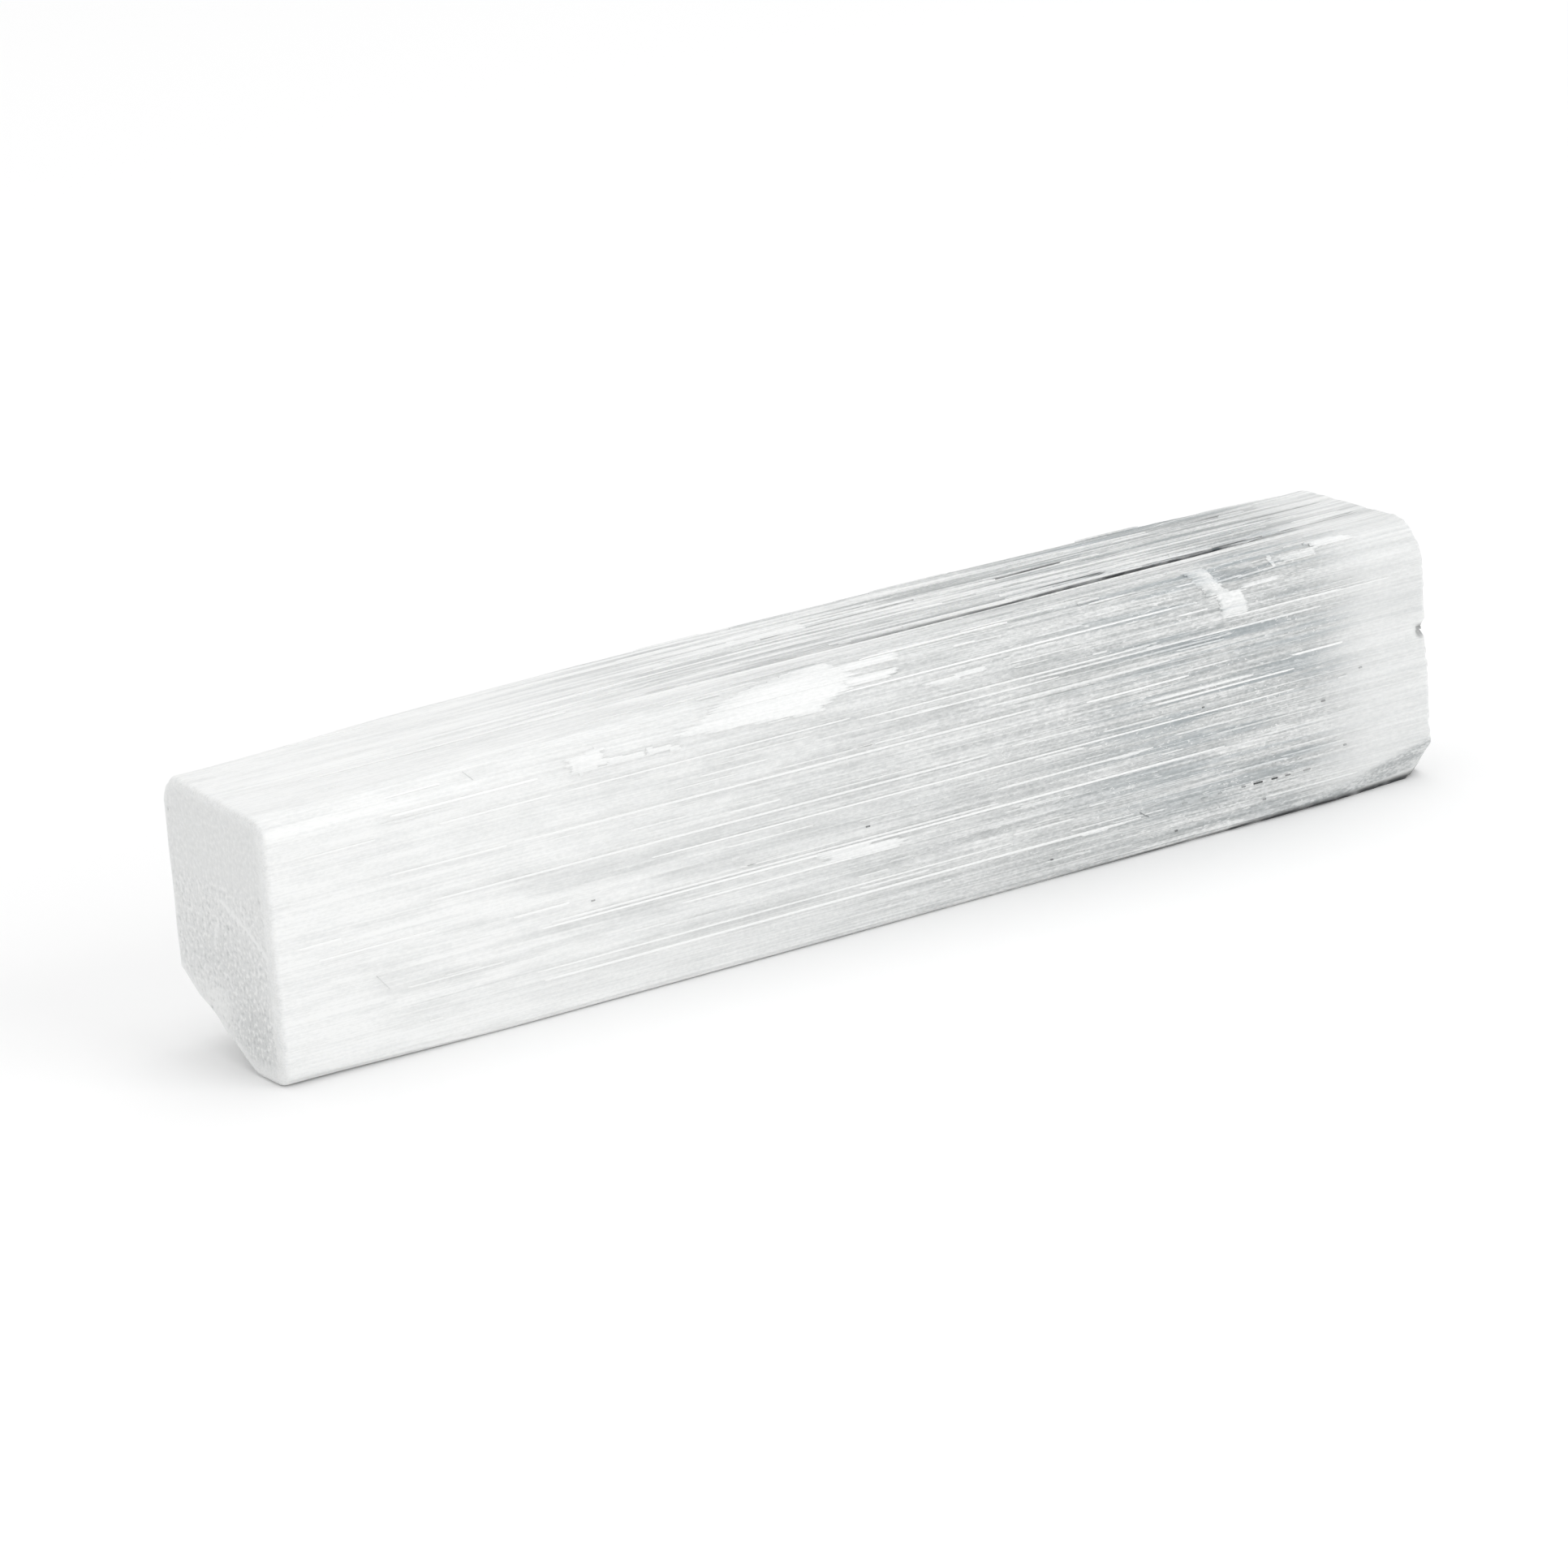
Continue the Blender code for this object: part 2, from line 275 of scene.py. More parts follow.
# Ledges: where flat bundles of fibres have come away, each leaving a long low step. Each range
# is of lines or of millimetres, and most ledges start near the middle one of LEDGE_STARTS.
LEDGES = 130
LEDGE_SEED = 5
LEDGE_LINES = (2, 12)
LEDGE_STARTS = (0, 70, 90)
LEDGE_LENGTHS = (4, 34)
LEDGE_FADES = (1, 12)
LEDGE_DEPTHS = (0.01, 0.04)
ledge_chance = np.random.default_rng(LEDGE_SEED)
for _ in range(LEDGES):
    first_line = ledge_chance.integers(0, round_lines)
    lines = (first_line + np.arange(ledge_chance.integers(*LEDGE_LINES))) % round_lines
    ledge_from = ledge_chance.triangular(*LEDGE_STARTS) * MM
    ledge_to = ledge_from + ledge_chance.uniform(*LEDGE_LENGTHS) * MM
    fade = ledge_chance.uniform(*LEDGE_FADES) * MM
    run = smooth_step(ledge_from, ledge_from + fade, ring_along) * (ring_along < ledge_to)
    furrows[:, lines] += ledge_chance.uniform(*LEDGE_DEPTHS) * MM * run[:, None] * towards_rough

# The furrows and the ledges are twice as deep where the surface faces up.
DEEPER_ON_TOP = 1.0
FACES_UP = (0.8, 1.0)
furrows *= 1 + DEEPER_ON_TOP * smooth_step(*FACES_UP, outward[:, :, 1])

# Splits: long shallow gaps between bundles on the top and the back, as (around at its two ends,
# along from and to, half width, depth), all in millimetres.
SPLITS = (
    ((31.0, 31.85), (38, 73), 0.20, 0.10),
    ((29.4, 30.6), (37, 80), 0.22, 0.12),
    ((26.3, 26.9), (50, 92), 0.15, 0.06),
    ((21.6, 21.9), (58, 80), 0.16, 0.07),
    ((39.0, 38.2), (12, 66), 0.22, 0.14),
    ((46.5, 47.4), (30, 95), 0.20, 0.12),
    ((43.2, 43.0), (4, 40), 0.16, 0.08),
)
SPLIT_FADE = 8 * MM
for around_ends, along_ends, half_width, depth in SPLITS:
    split_from, split_to = (value * MM for value in along_ends)
    middle = np.interp(ring_along, (split_from, split_to), np.array(around_ends) * MM)
    fades = (split_from, split_from + SPLIT_FADE, split_to - SPLIT_FADE, split_to)
    run = rise_and_fall(*fades, ring_along)
    off_middle = np.abs(around - middle[:, None]) / (half_width * MM)
    furrows += depth * MM * run[:, None] * np.exp(-(off_middle**2))

# The worn ends have little of the furrows left, and the underside stays flat to rest on.
WORN_LENGTH = 2.5 * MM
LEFT_AT_END = 0.25
UNDERSIDE_WITHIN = 0.02 * MM
LEFT_UNDERNEATH = 0.1
from_end = np.minimum(ring_along, bar_size.x - ring_along)
furrows *= smooth_step(0, WORN_LENGTH, from_end)[:, None] * (1 - LEFT_AT_END) + LEFT_AT_END
on_underside = skin[:, :, 1] < bar_low.z - bar_middle.z + UNDERSIDE_WITHIN
furrows[on_underside] *= LEFT_UNDERNEATH
surface = skin - outward * furrows[:, :, None]

# How hollow each place is: how far it lies below a straight edge laid across the fibres there,
# which reaches this many lines to each side.
STRAIGHT_EDGE = 5
left, right = (np.roll(surface, shift, axis=1) for shift in (STRAIGHT_EDGE, -STRAIGHT_EDGE))
hollow_depth = (((left + right) / 2 - surface) * outward).sum(axis=2)

# A place of 1 is at the box's side, give or take rounding.
AT_EDGE = 0.99999
NOT_ZERO = 1e-9


def round_place(across, up):
    """How many lines round the bar a way from its middle points, with places from -1 to 1."""
    far = np.maximum(np.maximum(np.abs(across), np.abs(up)), NOT_ZERO)
    across, up = across / far, up / far
    climb, cross = (up + 1) / 2 * up_lines, (across + 1) / 2 * across_lines
    place = 2 * (up_lines + across_lines) - cross
    place = np.where(across > AT_EDGE, 2 * up_lines + across_lines - climb, place)
    place = np.where(up > AT_EDGE, up_lines + cross, place)
    return np.where(across < -AT_EDGE, climb, place) % round_lines


# Every point of the grid goes to its place: on the surface, or on an end, between edge and middle.
points = np.empty(len(bar.data.vertices) * 3)
bar.data.vertices.foreach_get("co", points)
grid = points.reshape(-1, 3) * 2
rings = np.rint((grid[:, 0] + 1) / 2 * ring_spaces).astype(int)
share_out = np.maximum(np.abs(grid[:, 1]), np.abs(grid[:, 2]))
turn = np.round(round_place(grid[:, 1], grid[:, 2]), 4)
line = np.floor(turn).astype(int) % round_lines
next_line = (line + 1) % round_lines
part = (turn - np.floor(turn))[:, None]
edge = surface[rings, line] * (1 - part) + surface[rings, next_line] * part
points = np.empty((len(grid), 3))
points[:, 0] = bar_low.x + ring_along[rings]
points[:, 1:] = edge * share_out[:, None] + np.array([bar_middle.y, bar_middle.z])
across_end = points[:, 1] - bar_low.y
up_end = points[:, 2] - bar_low.z
on_side = share_out > AT_EDGE
on_sawn_end = (rings == 0) & ~on_side
on_rough_end = (rings == ring_spaces) & ~on_side


def blob(across, up, half_across, half_up):
    """A soft patch on an end face, 1 at its middle. Its place and size are in millimetres."""
    away = ((across_end / MM - across) / half_across) ** 2 + ((up_end / MM - up) / half_up) ** 2
    return np.exp(-away)


def near_path(path, half_width):
    """1 on a line drawn across an end face through these points, in millimetres, falling to 0."""
    nearest = np.full(len(points), np.inf)
    place = np.stack([across_end, up_end], axis=-1) / MM
    for first, second in zip(np.array(path[:-1]), np.array(path[1:])):
        run = second - first
        share = np.clip((place - first) @ run / (run @ run), 0, 1)
        nearest = np.minimum(nearest, np.linalg.norm(place - first - share[:, None] * run, axis=1))
    return np.exp(-((nearest / half_width) ** 2))


# The sawn end is flat, with a grain too fine to feel, a hair crack across it, a fainter one and a
# few pits. Their places, half widths and radius are in millimetres.
SAWN_GRAIN = 0.010 * MM
CRACK_DEPTH = 0.02 * MM
PIT_DEPTH = 0.08 * MM
PIT_RADIUS = 0.12
CRACK = ((7.3, 12.1), (4.0, 10.9), (2.0, 9.9), (0.4, 8.9))
CRACK_HALF_WIDTH = 0.17
FAINT_CRACK = ((8.2, 10.2), (8.8, 8.5))
FAINT_HALF_WIDTH = 0.2
FAINT_SHARE = 0.6
SAWN_PITS = ((13.9, 17.3), (1.5, 13.3), (10.2, 3.6), (9.0, 2.4), (6.5, 10.2))
END_SEED = 9
end_chance = np.random.default_rng(END_SEED)
crack = near_path(CRACK, CRACK_HALF_WIDTH)
crack += FAINT_SHARE * near_path(FAINT_CRACK, FAINT_HALF_WIDTH)
pits = sum(blob(*place, PIT_RADIUS, PIT_RADIUS) for place in SAWN_PITS)
sawn_in = SAWN_GRAIN * end_chance.random(len(points)) + CRACK_DEPTH * crack + PIT_DEPTH * pits
points[:, 0] += np.where(on_sawn_end, sawn_in, 0)

# The rough end broke across the fibres, so coarse bundles of them and the thin bundles within
# these end at different depths. Each kind is how many there are, and how deep the deepest ends.
# The rim of the end is worn, so less of it is missing.
BUNDLES = ((60, 0.15 * MM), (1300, 0.22 * MM))
ROUGH_GRAIN = 0.05 * MM
RIM = (0.9, 1.0)
RIM_WORN = 0.5
near_rough_end = rings >= ring_spaces - END_ROUND_RINGS
broken_off = np.where(on_rough_end, ROUGH_GRAIN * end_chance.random(len(points)), 0)
for count, deepest in BUNDLES:
    bundle_middles = end_chance.uniform((0, 0), (bar_size.y, bar_size.z), (count, 2))
    bundle_depths = deepest * end_chance.random(count) ** 2
    for place in np.flatnonzero(near_rough_end):
        away = np.hypot(*(bundle_middles - (across_end[place], up_end[place])).T)
        broken_off[place] += bundle_depths[np.argmin(away)]
broken_off *= 1 - RIM_WORN * smooth_step(*RIM, share_out)
points[:, 0] -= broken_off

# The nick: a V across the front edge of the rough end, which climbs and fades as it goes in.
NICK_DEPTH = 0.66 * MM
NICK_HALF_WIDTH = 0.8 * MM
NICK_CLIMB = 0.25
NICK_FADES = (0.2 * MM, 1.6 * MM)
off_nick = np.abs(up_end - NICK_UP - NICK_CLIMB * across_end)
nick = np.clip(1 - off_nick / NICK_HALF_WIDTH, 0, 1)
nick *= 1 - smooth_step(*NICK_FADES, across_end)
points[:, 0] -= np.where(near_rough_end, NICK_DEPTH * nick, 0)

points = np.clip(points, np.array(cad_low), np.array(cad_high))
bar.data.vertices.foreach_set("co", points.ravel())
bar.data.update()

SHARP_ANGLE = 50
deselect_all()
bar.select_set(True)
bpy.context.view_layer.objects.active = bar
bpy.ops.object.shade_smooth_by_angle(angle=math.radians(SHARP_ANGLE))


def paint(obj, name, values):
    """Gives every point of a mesh a number that its material reads by this name."""
    layer = obj.data.attributes.new(name, "FLOAT", "POINT")
    layer.data.foreach_set("value", np.ascontiguousarray(values, dtype=np.float32))


# How hollow each place is, 0 to 1, which sets the painted shade that darkens the furrows, the
# hollows and most of all the split, where shade falls. The split's lines and its far bank are set
# by its depth, and fade where it closes up towards the rough end.
HOLLOW_DEPTHS = (0.04 * MM, 0.22 * MM)
SPLIT_DEPTHS = (0.05 * MM, 0.3 * MM)
SPLIT_HOLLOW = (0.0, 0.0, 1.0, 1.0, 0.8)
BANK_HOLLOW = 0.6
CLOSES_UP = (82 * MM, 90 * MM)
CLOSES_BY = 0.85
hollow_shade = smooth_step(*HOLLOW_DEPTHS, hollow_depth)
split_shown = smooth_step(*SPLIT_DEPTHS, split_depth)
split_shown *= 1 - CLOSES_BY * smooth_step(*CLOSES_UP, ring_along)
hollow_shade[:, split_lines] = split_shown[:, None] * SPLIT_HOLLOW
hollow_shade[:, split_banks[1]] = BANK_HOLLOW * split_shown * split_gapes
paint(bar, "hollow_shade", on_side * hollow_shade[rings, line])

# Where the saw cut shows. Its front edge is as pale as the sides, and so is its rim, which is
# wider low down.
CUT_FRONT = (0.6 * MM, 1.5 * MM)
PALE_RIM = (0.88, 0.98)
LOW_RIM = (5 * MM, 8 * MM)
CUT_RIM = (0.96, 1.0)
pale_rim = smooth_step(*PALE_RIM, share_out) * (1 - smooth_step(*LOW_RIM, up_end))
sawn_face = smooth_step(*CUT_FRONT, across_end) * (1 - pale_rim)
paint(bar, "saw_cut", on_sawn_end * sawn_face * (1 - smooth_step(*CUT_RIM, share_out)))

# How milky the saw cut is: its patches as (across, up, half across, half up, milkier by).
SAWN_MILK = 0.5
CRACK_MILK = 0.6
SAWN_PATCHES = (
    (3.6, 3.0, 3.2, 2.4, -0.38),
    (9.5, 4.2, 2.6, 1.6, 0.35),
    (7.5, 7.2, 6.0, 3.0, -0.20),
)
sawn_milk = SAWN_MILK + CRACK_MILK * crack
for *patch, milkier in SAWN_PATCHES:
    sawn_milk += milkier * blob(*patch)
paint(bar, "saw_cut_milk", on_sawn_end * sawn_milk)

# The stone is crushed along the broken lower front edge, up to these places around it. That edge
# faces down, so its grey is partly the crushed stone's own and partly painted shade.
CRUSHED_ALONG = (84 * MM, 92 * MM, 99.5 * MM)
CRUSHED_AROUND = (0.8 * MM, 1.3 * MM, 3.1 * MM)
CRUSHED_EDGE = (-0.5 * MM, 0.3 * MM)
CRUSHED_FROM = (80 * MM, 88 * MM)
FRONT_DEPTH = 3 * MM
along = ring_along[rings]
on_front = on_side & (across_end < FRONT_DEPTH)
past_crushed = around[rings, line] - np.interp(along, CRUSHED_ALONG, CRUSHED_AROUND)
crushed_and_shaded = 1 - smooth_step(*CRUSHED_EDGE, past_crushed)
paint(bar, "crushed_and_shaded", on_front * crushed_and_shaded * smooth_step(*CRUSHED_FROM, along))

# Shade: a dark line along the lower front edge, up to these heights, the hollow that the flake
# left, the nick, the deepest bundles of the rough end and the pits.
DARK_ALONG = (60 * MM, 76 * MM, 84 * MM, 97 * MM)
DARK_UP = (0.06 * MM, 0.25 * MM, 0.5 * MM, 0.6 * MM)
DARK_SOFT = (0.3, 1.2)
DARK_FROM = (56 * MM, 82 * MM)
FLAKE_ALONG = (81.2 * MM, 81.8 * MM, 86.2 * MM, 86.8 * MM)
FLAKE_AROUND = (18.5 * MM, 18.9 * MM, 20.4 * MM, 20.8 * MM)
FLAKE_SHADE = 0.16
NICK_SHADE = (0.1, 0.6)
BROKEN_DEPTHS = (0.12 * MM, 0.36 * MM)
BROKEN_SHADE = 0.12
PIT_SHADE = 0.4
dark_up = np.interp(along, DARK_ALONG, DARK_UP)
dark_edge = 1 - smooth_step(*DARK_SOFT, up_end / dark_up)
in_flake = rise_and_fall(*FLAKE_ALONG, along) * rise_and_fall(*FLAKE_AROUND, around[rings, line])
paint(bar, "shaded", np.max([
    on_front * dark_edge * smooth_step(*DARK_FROM, along),
    on_side * FLAKE_SHADE * in_flake,
    near_rough_end * smooth_step(*NICK_SHADE, nick),
    BROKEN_SHADE * smooth_step(*BROKEN_DEPTHS, broken_off),
    on_sawn_end * PIT_SHADE * pits,
], axis=0))


def feed(tree, socket, value):
    """Sets an input to a number or colour, or links what another node gives to it."""
    if isinstance(value, bpy.types.NodeSocket):
        tree.links.new(value, socket)
    else:
        socket.default_value = value


def add_node(tree, kind, **inputs):
    """Adds a shader node. Each further name is an input's."""
    node = tree.nodes.new("ShaderNode" + kind)
    for name, value in inputs.items():
        feed(tree, node.inputs[name], value)
    return node


def fibre_noise(tree, place, length, thickness, shift, detail):
    """A noise drawn out along the bar, in pieces about this long and this thick."""
    scale = (1 / length, 1 / thickness, 1 / thickness)
    stretch = add_node(tree, "Mapping", Vector=place, Location=(shift,) * 3, Scale=scale)
    noise = add_node(tree, "TexNoise", Vector=stretch.outputs["Vector"], Scale=1.0, Detail=detail)
    return noise.outputs["Fac"]


def ramp(tree, value, low, high, to_low=0.0, to_high=1.0):
    """A smooth change from one value to another as the input goes from low to high."""
    node = tree.nodes.new("ShaderNodeMapRange")
    node.interpolation_type = "SMOOTHSTEP"
    for socket, number in zip(node.inputs, (value, low, high, to_low, to_high)):
        feed(tree, socket, number)
    return node.outputs["Result"]


def maths(tree, operation, *values):
    """One Math node. ADD and MULTIPLY take two values, MULTIPLY_ADD takes three."""
    node = tree.nodes.new("ShaderNodeMath")
    node.operation = operation
    for socket, value in zip(node.inputs, values):
        feed(tree, socket, value)
    return node.outputs["Value"]


def join_up(tree, operation, *values):
    """Joins two or more values by one operation, two at a time."""
    total = values[0]
    for value in values[1:]:
        total = maths(tree, operation, total, value)
    return total


def add_share(tree, value, share, amount):
    """The value plus this share of an amount. Either of the two can be negative."""
    return maths(tree, "MULTIPLY_ADD", share, amount, value)


def mix_colours(tree, share, first, second):
    node = tree.nodes.new("ShaderNodeMix")
    node.data_type = "RGBA"
    for name, value in (("Factor_Float", share), ("A_Color", first), ("B_Color", second)):
        socket = next(socket for socket in node.inputs if socket.identifier == name)
        feed(tree, socket, value)
    return next(socket for socket in node.outputs if socket.identifier == "Result_Color")


def painted(tree, name):
    node = tree.nodes.new("ShaderNodeAttribute")
    node.attribute_name = name
    return node.outputs["Fac"]


MILKY = (0.862, 0.868, 0.862, 1)
CLEAR = (0.42, 0.44, 0.44, 1)
BLUISH = (0.33, 0.385, 0.415, 1)
PARTED_WHITE = (0.895, 0.90, 0.895, 1)
# The crushed grey is partly painted shade, for a broken edge that faces down.
CRUSHED_AND_SHADED_GREY = (0.40, 0.42, 0.425, 1)
SHADOWED = (0.02, 0.024, 0.026, 1)

# Noises drawn out along the fibres: how long and thick their pieces are, the shift that makes
# each one different, and its detail.
NOISES = {
    "clouds": (12 * MM, 1.4 * MM, 3.1, 5),
    "streaks": (18 * MM, 0.38 * MM, 11.7, 3),
    "mottle": (3.5 * MM, 0.7 * MM, 83.1, 4),
    "threads": (14 * MM, 0.12 * MM, 29.3, 1),
    "grain": (0.35 * MM, 0.15 * MM, 5.9, 3),
    "bands": (26 * MM, 0.50 * MM, 61.9, 2),
    "hairs": (18 * MM, 0.10 * MM, 47.2, 2),
    "flecks": (0.9 * MM, 0.12 * MM, 71.4, 2),
    "crumbs": (0.30 * MM, 0.17 * MM, 23.8, 1),
    "breaks": (2.5 * MM, 1.2 * MM, 17.3, 2),
}
SPREAD = (0.28, 0.72)
SOFT_SPREAD = (0.30, 0.70)

# Where the look changes along the bar, across it and up it, from the middle of its underside. A
# third and fourth number are what the change starts and ends at, in place of 0 and 1.
FADE_ALONG = (-45 * MM, 33 * MM)
BRUISE_ALONG = (33.0 * MM, 41.5 * MM)
BRUISE_STREAKS = -6 * MM
BRUISE_LEAN = -0.07
TOP_UP = (18.6 * MM, 19.8 * MM)
TOP_BACK = (-4.6 * MM, -3.2 * MM, 0.2, 1.0)
TOP_STREAKED_ALONG = (-42 * MM, 4 * MM, 0.1, 1.0)
LOW_UP = ((13 * MM, 8 * MM), (2 * MM, 4 * MM))
LOW_ALONG = ((-46 * MM, -38 * MM), (0, -16 * MM))
LOW_STREAKS = (0.56, 0.44)
CORE_UP = (3 * MM, 8 * MM)
CORE_ALONG = (10 * MM, 32 * MM)
CLOUD_BACK = (-3 * MM, 1 * MM)
CLOUD_ALONG = ((24 * MM, 30 * MM), (44 * MM, 38 * MM))
BELOW_CRACK = (14 * MM, 11.5 * MM, 0.10, 1.0)
BLUISH_ALONG = (10 * MM, 30 * MM)
BLUISH_UP = (1 * MM, 7 * MM, 0.3, 1.0)
BLUISH_STREAKS = (0.52, 0.40)
DARKER_ALONG = (-10 * MM, 32 * MM, 0.12, 1.0)

# How milky the stone is at the sawn end, and how much it changes by the fade and the bruise, low
# down, in the core and in the cloud on the top.
SAWN_TONE = 0.93
TONE_CHANGES = (-0.47, 0.28, -0.13, -0.07, -0.22)

# How strongly each noise shows in the milkiness: a steady part, and what a place adds to it.
CLOUD_HEIGHT = 0.08
MOTTLE_HEIGHT, MOTTLE_FADES = 0.16, -0.10
STREAK_HEIGHT, STREAK_ON_TOP = 0.09, 0.18
THREAD_HEIGHT = 0.23
GRAIN_HEIGHT = 0.20
BAND_HEIGHTS = (-0.40, 0.50)
STRENGTH, STRENGTH_IF_CLEAR = 0.32, 0.68
BANDS_IF_BRUISED = -0.6
CLEARNESS_IF_BRUISED = -0.9

# The saw cut's fine grain, its milkiness, and the white and grey specks in it.
CUT_GRAIN = 0.34 * MM
CUT_MILK, CUT_MILK_SHARE = -0.01, 0.5
CUT_EVEN = (0.3, 0.7, 0.53, 0.67)
CUT_WHITE_SPECKS = (0.55, 0.66, 0.0, 0.42)
CUT_GREY_SPECKS = (0.42, 0.34, 0.0, -0.22)

# What of each noise shows as white or as dark, and how much of it.
BLUISH_SHARE = 0.48
HAIRS_SHOWN = (0.62, 0.67)
FLECKS_SHOWN = (0.64, 0.70)
CRUMBS_SHOWN = (0.66, 0.71)
CRUMBS_IN_MOTTLE = (0.47, 0.56)
WHITE_SHARE = 0.75
LOOSE_GRAIN = (0.3, 0.65, 0.8, 1.0)
CRUSHED_GRAIN = (0.8, 1.2, 0.95, 0.25)
HOLLOW_SHOWN = (0.0, 0.35)
SHADE_BREAKS = (0.3, 0.6, 0.5, 1.0)

# Finish: silky, and clearer inside where it is less milky. Red light goes least far into it.
ROUGHNESS = (0.3, 0.7, 0.36, 0.50)
CLEAR_SHARE = (0.2, 1.0, 0.5, 0.06)
GYPSUM_IOR = 1.52
LIGHT_DEPTH = (0.7 * MM, 0.72 * MM, 0.75 * MM)
RELIEF_GRAIN = 0.5
RELIEF_STRENGTH = 0.5
RELIEF_HEIGHT = 0.02 * MM


def satin_spar(name, glow):
    """Milky and opaque at both ends and clearer between them, streaked along the fibres. Fibres
    that have parted from each other are white. Glow is how much light passes under the surface."""
    material = bpy.data.materials.new(name)
    material.use_nodes = True
    tree = material.node_tree
    shader = tree.nodes["Principled BSDF"]
    place = tree.nodes.new("ShaderNodeTexCoord").outputs["Object"]
    along, across, up = add_node(tree, "SeparateXYZ", Vector=place).outputs
    noise = {kind: fibre_noise(tree, place, *pieces) for kind, pieces in NOISES.items()}

    # Places: fade goes from the sawn end on, and bruise is the white stone near the rough end,
    # whose boundary is streaky.
    streaky_clouds = maths(tree, "MULTIPLY", noise["clouds"], 0.5)
    streaky_clouds = add_share(tree, streaky_clouds, noise["streaks"], 0.5)
    fade = ramp(tree, along, *FADE_ALONG)
    boundary = join_up(
        tree, "ADD",
        maths(tree, "MULTIPLY", noise["streaks"], BRUISE_STREAKS),
        maths(tree, "MULTIPLY", up, BRUISE_LEAN),
        along,
    )
    bruise = ramp(tree, boundary, *BRUISE_ALONG)
    unbruised = add_share(tree, 1.0, bruise, -1.0)
    clearness = add_share(tree, 1.0, bruise, CLEARNESS_IF_BRUISED)
    clearness = maths(tree, "MULTIPLY", fade, clearness)
    on_top = maths(tree, "MULTIPLY", ramp(tree, up, *TOP_UP), ramp(tree, across, *TOP_BACK))
    low_down = [ramp(tree, up, *span) for span in LOW_UP]
    low_down += [ramp(tree, along, *span) for span in LOW_ALONG]
    low_down = join_up(tree, "MULTIPLY", *low_down, ramp(tree, streaky_clouds, *LOW_STREAKS))
    core = maths(tree, "MULTIPLY", ramp(tree, up, *CORE_UP), ramp(tree, along, *CORE_ALONG))
    core = maths(tree, "MULTIPLY", core, unbruised)
    top_cloud = [ramp(tree, boundary, *span) for span in CLOUD_ALONG]
    top_cloud = join_up(tree, "MULTIPLY", on_top, ramp(tree, across, *CLOUD_BACK), *top_cloud)

    # Tone: milky at the sawn end, clearer and clearer along the bar, and milky again where it is
    # bruised. The noises make it uneven, most of all where it is clear.
    tone = SAWN_TONE
    for share, change in zip((fade, bruise, low_down, core, top_cloud), TONE_CHANGES):
        tone = add_share(tree, tone, share, change)
    streaked_top = ramp(tree, along, *TOP_STREAKED_ALONG)
    streaked_top = maths(tree, "MULTIPLY", on_top, streaked_top)
    streak_height = add_share(tree, STREAK_HEIGHT, streaked_top, STREAK_ON_TOP)
    mottle_height = add_share(tree, MOTTLE_HEIGHT, fade, MOTTLE_FADES)
    mottled = ramp(tree, noise["mottle"], *SOFT_SPREAD, -1.0, 1.0)
    streaked = ramp(tree, noise["streaks"], *SPREAD, -1.0, 1.0)
    uneven = join_up(
        tree, "ADD",
        ramp(tree, noise["clouds"], *SOFT_SPREAD, -CLOUD_HEIGHT, CLOUD_HEIGHT),
        maths(tree, "MULTIPLY", mottled, mottle_height),
        maths(tree, "MULTIPLY", streaked, streak_height),
        ramp(tree, noise["threads"], *SPREAD, -THREAD_HEIGHT, THREAD_HEIGHT),
        ramp(tree, noise["grain"], *SPREAD, -GRAIN_HEIGHT, GRAIN_HEIGHT),
    )
    strength = maths(tree, "MULTIPLY", clearness, clearness)
    strength = add_share(tree, STRENGTH, strength, STRENGTH_IF_CLEAR)
    milk = add_share(tree, tone, uneven, strength)
    band_height = add_share(tree, 1.0, bruise, BANDS_IF_BRUISED)
    band_height = maths(tree, "MULTIPLY", streaked_top, band_height)
    bands = ramp(tree, noise["bands"], *SOFT_SPREAD, *BAND_HEIGHTS)
    milk = add_share(tree, milk, bands, band_height)

    # The saw cut shows the fibres end on, as a fine grain on an even grey. It is rougher, with
    # specks, below the hair crack.
    saw_cut = painted(tree, "saw_cut")
    cut_grain = add_node(tree, "TexNoise", Vector=place, Scale=1 / CUT_GRAIN, Detail=3.0)
    cut_grain = cut_grain.outputs["Fac"]
    below_crack = ramp(tree, up, *BELOW_CRACK)
    cut_milk = join_up(
        tree, "ADD",
        add_share(tree, CUT_MILK, painted(tree, "saw_cut_milk"), CUT_MILK_SHARE),
        ramp(tree, cut_grain, *CUT_EVEN),
        maths(tree, "MULTIPLY", ramp(tree, cut_grain, *CUT_WHITE_SPECKS), below_crack),
        maths(tree, "MULTIPLY", ramp(tree, cut_grain, *CUT_GREY_SPECKS), below_crack),
    )
    milk = add_share(tree, milk, saw_cut, maths(tree, "SUBTRACT", cut_milk, milk))
    milk = maths(tree, "MAXIMUM", maths(tree, "MINIMUM", milk, 1.0), 0.0)
    colour = mix_colours(tree, milk, CLEAR, MILKY)

    # Bluish in streaks where the stone is clearest.
    bluish = maths(tree, "MULTIPLY", ramp(tree, along, *BLUISH_ALONG), clearness)
    bluish = join_up(
        tree, "MULTIPLY",
        bluish,
        ramp(tree, up, *BLUISH_UP),
        ramp(tree, streaky_clouds, *BLUISH_STREAKS),
        BLUISH_SHARE,
    )
    colour = mix_colours(tree, bluish, colour, BLUISH)

